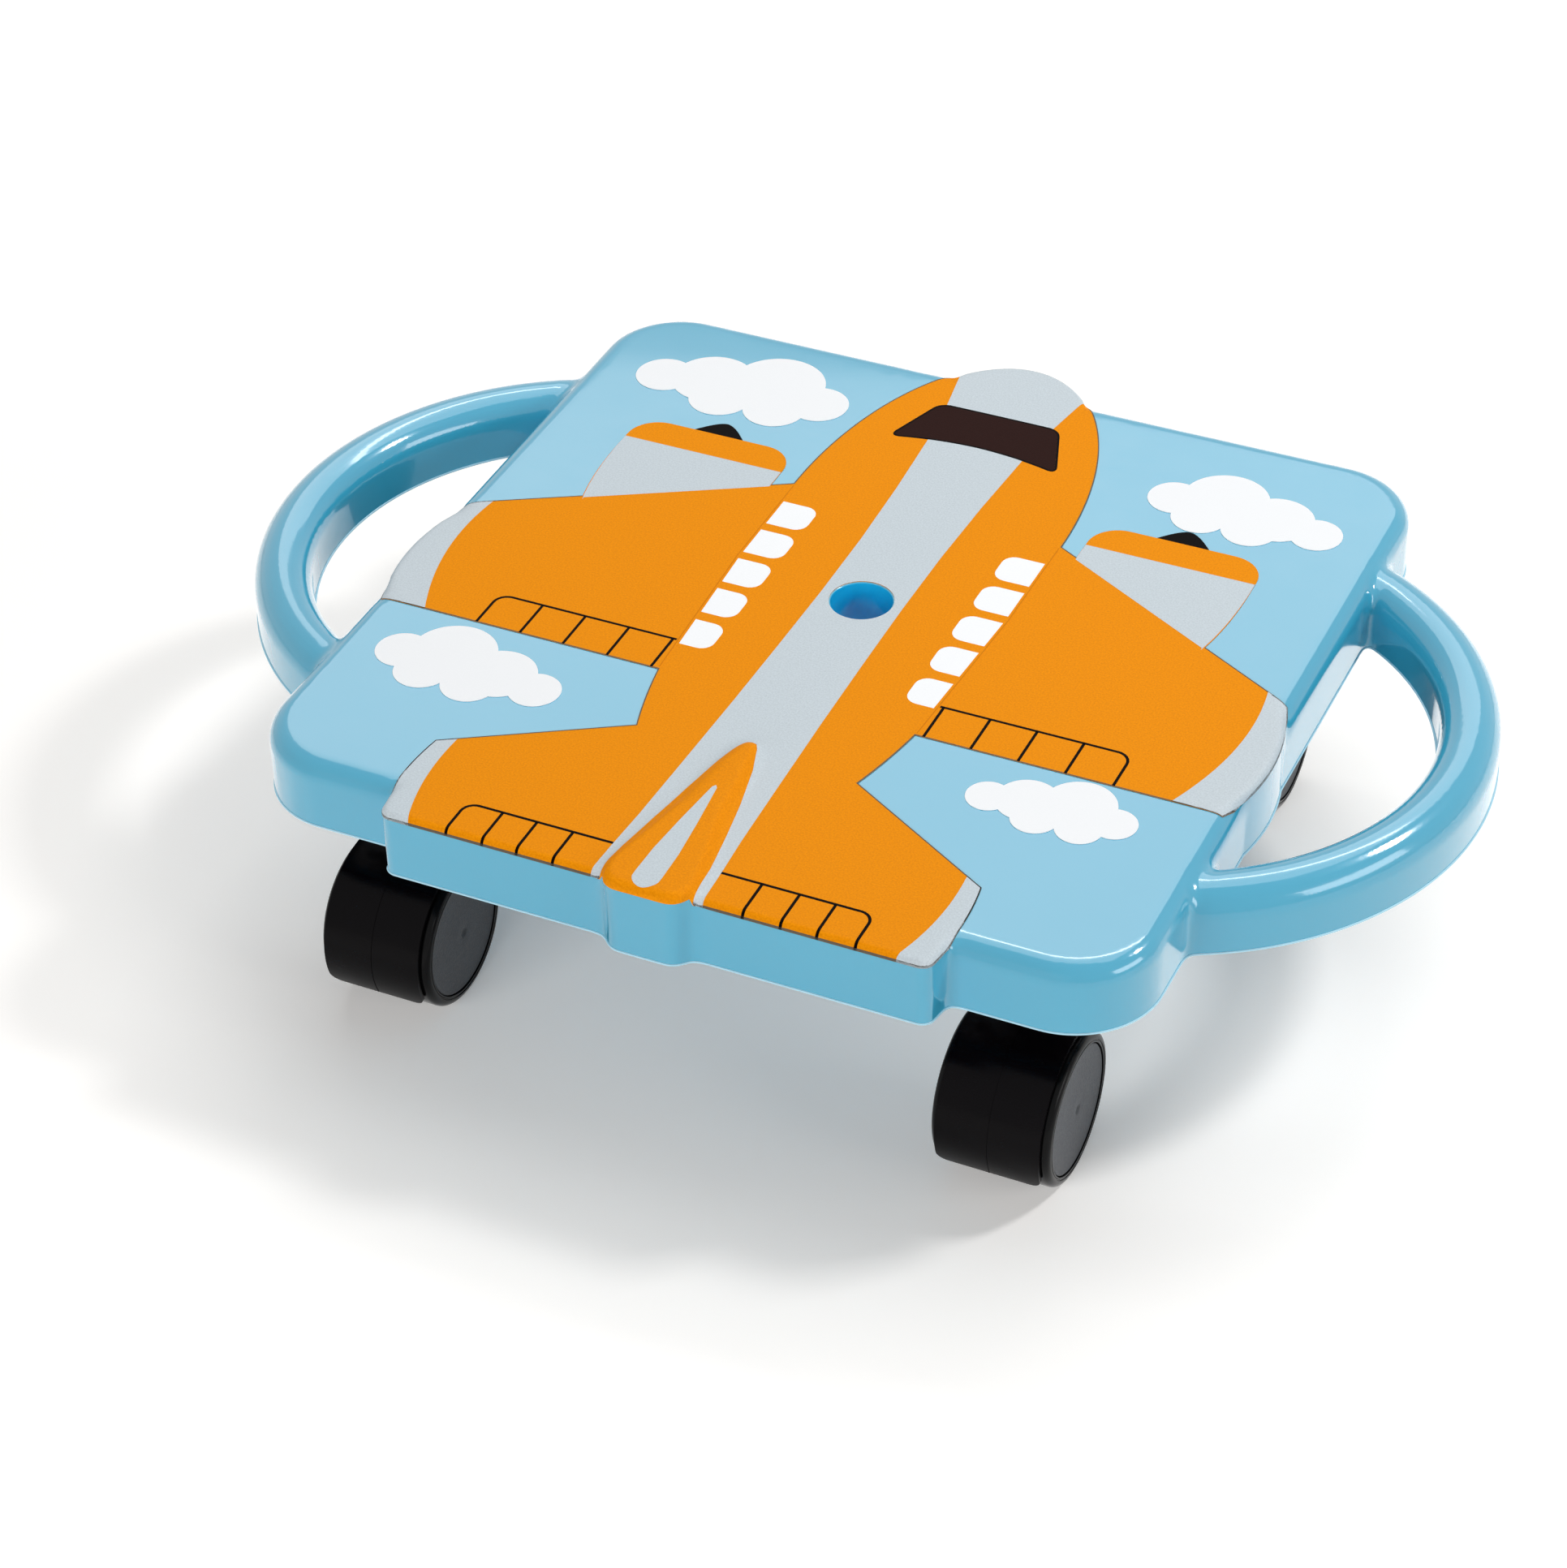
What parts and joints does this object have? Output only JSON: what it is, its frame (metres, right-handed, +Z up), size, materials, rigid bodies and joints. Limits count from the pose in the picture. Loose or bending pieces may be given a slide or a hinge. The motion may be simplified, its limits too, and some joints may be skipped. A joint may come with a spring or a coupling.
{
  "type": "scooter board",
  "caption": "Low square sitting scooter with a moulded airplane deck, ring handles at both sides, a rope hole and swivelling twin-wheel casters.",
  "frame": {"origin": "on the floor, midway between the airplane's nose tip and the fin's rear end, midway between the handles", "axes": "+Z up, +Y towards the airplane's nose, +X towards the right handle"},
  "size_m": [0.4196, 0.3152, 0.1024],
  "materials": {
    "deck_plastic": "smooth glossy sky-blue moulding",
    "airplane_print": "orange and grey printed film with a fine pebble grain",
    "cloud_print": "smooth white printed film",
    "zinc_steel": "zinc-plated steel",
    "white_nylon": "natural nylon",
    "black_nylon": "satin black nylon",
    "wheel_tread": "smooth dark grey",
    "wheel_cap": "fine-textured dark grey"
  },
  "bodies": {
    "board": {"deck_shell": "deck_plastic", "airplane_film": "airplane_print", "cloud_film_front_left": "cloud_print", "cloud_film_front_right": "cloud_print", "cloud_film_rear_left": "cloud_print", "cloud_film_rear_right": "cloud_print", "caster_plate_front_left": "zinc_steel", "kingpin_front_left": "zinc_steel", "thrust_washer_front_left": "white_nylon", "screw_front_left_1": "zinc_steel", "screw_front_left_2": "zinc_steel", "screw_front_left_3": "zinc_steel", "screw_front_left_4": "zinc_steel", "caster_plate_front_right": "zinc_steel", "kingpin_front_right": "zinc_steel", "thrust_washer_front_right": "white_nylon", "screw_front_right_1": "zinc_steel", "screw_front_right_2": "zinc_steel", "screw_front_right_3": "zinc_steel", "screw_front_right_4": "zinc_steel", "caster_plate_rear_left": "zinc_steel", "kingpin_rear_left": "zinc_steel", "thrust_washer_rear_left": "white_nylon", "screw_rear_left_1": "zinc_steel", "screw_rear_left_2": "zinc_steel", "screw_rear_left_3": "zinc_steel", "screw_rear_left_4": "zinc_steel", "caster_plate_rear_right": "zinc_steel", "kingpin_rear_right": "zinc_steel", "thrust_washer_rear_right": "white_nylon", "screw_rear_right_1": "zinc_steel", "screw_rear_right_2": "zinc_steel", "screw_rear_right_3": "zinc_steel", "screw_rear_right_4": "zinc_steel"},
    "caster_front_left": {"hood_front_left": "black_nylon", "axle_front_left": "zinc_steel"},
    "wheel_front_left_left": {"wheel_front_left_left": "wheel_tread", "wheel_cap_front_left_left": "wheel_cap"},
    "wheel_front_left_right": {"wheel_front_left_right": "wheel_tread", "wheel_cap_front_left_right": "wheel_cap"},
    "caster_front_right": {"hood_front_right": "black_nylon", "axle_front_right": "zinc_steel"},
    "wheel_front_right_left": {"wheel_front_right_left": "wheel_tread", "wheel_cap_front_right_left": "wheel_cap"},
    "wheel_front_right_right": {"wheel_front_right_right": "wheel_tread", "wheel_cap_front_right_right": "wheel_cap"},
    "caster_rear_left": {"hood_rear_left": "black_nylon", "axle_rear_left": "zinc_steel"},
    "wheel_rear_left_left": {"wheel_rear_left_left": "wheel_tread", "wheel_cap_rear_left_left": "wheel_cap"},
    "wheel_rear_left_right": {"wheel_rear_left_right": "wheel_tread", "wheel_cap_rear_left_right": "wheel_cap"},
    "caster_rear_right": {"hood_rear_right": "black_nylon", "axle_rear_right": "zinc_steel"},
    "wheel_rear_right_left": {"wheel_rear_right_left": "wheel_tread", "wheel_cap_rear_right_left": "wheel_cap"},
    "wheel_rear_right_right": {"wheel_rear_right_right": "wheel_tread", "wheel_cap_rear_right_right": "wheel_cap"}
  },
  "joints": [
    {"name": "swivel_front_left", "type": "hinge", "parent": "board", "child": "caster_front_left", "pos_m": [-0.1047, 0.1021, 0.055], "axis": [0, 0, 1], "continuous": true},
    {"name": "roll_front_left_left", "type": "hinge", "parent": "caster_front_left", "child": "wheel_front_left_left", "pos_m": [-0.1154, 0.0845, 0.02469], "axis": [1, 0, 0], "continuous": true},
    {"name": "roll_front_left_right", "type": "hinge", "parent": "caster_front_left", "child": "wheel_front_left_right", "pos_m": [-0.094, 0.0845, 0.02469], "axis": [1, 0, 0], "continuous": true},
    {"name": "swivel_front_right", "type": "hinge", "parent": "board", "child": "caster_front_right", "pos_m": [0.1047, 0.1021, 0.055], "axis": [0, 0, 1], "continuous": true},
    {"name": "roll_front_right_left", "type": "hinge", "parent": "caster_front_right", "child": "wheel_front_right_left", "pos_m": [0.094, 0.0845, 0.02469], "axis": [1, 0, 0], "continuous": true},
    {"name": "roll_front_right_right", "type": "hinge", "parent": "caster_front_right", "child": "wheel_front_right_right", "pos_m": [0.1154, 0.0845, 0.02469], "axis": [1, 0, 0], "continuous": true},
    {"name": "swivel_rear_left", "type": "hinge", "parent": "board", "child": "caster_rear_left", "pos_m": [-0.1047, -0.0979, 0.055], "axis": [0, 0, 1], "continuous": true},
    {"name": "roll_rear_left_left", "type": "hinge", "parent": "caster_rear_left", "child": "wheel_rear_left_left", "pos_m": [-0.1154, -0.1155, 0.02469], "axis": [1, 0, 0], "continuous": true},
    {"name": "roll_rear_left_right", "type": "hinge", "parent": "caster_rear_left", "child": "wheel_rear_left_right", "pos_m": [-0.094, -0.1155, 0.02469], "axis": [1, 0, 0], "continuous": true},
    {"name": "swivel_rear_right", "type": "hinge", "parent": "board", "child": "caster_rear_right", "pos_m": [0.1047, -0.0979, 0.055], "axis": [0, 0, 1], "continuous": true},
    {"name": "roll_rear_right_left", "type": "hinge", "parent": "caster_rear_right", "child": "wheel_rear_right_left", "pos_m": [0.094, -0.1155, 0.02469], "axis": [1, 0, 0], "continuous": true},
    {"name": "roll_rear_right_right", "type": "hinge", "parent": "caster_rear_right", "child": "wheel_rear_right_right", "pos_m": [0.1154, -0.1155, 0.02469], "axis": [1, 0, 0], "continuous": true}
  ]
}
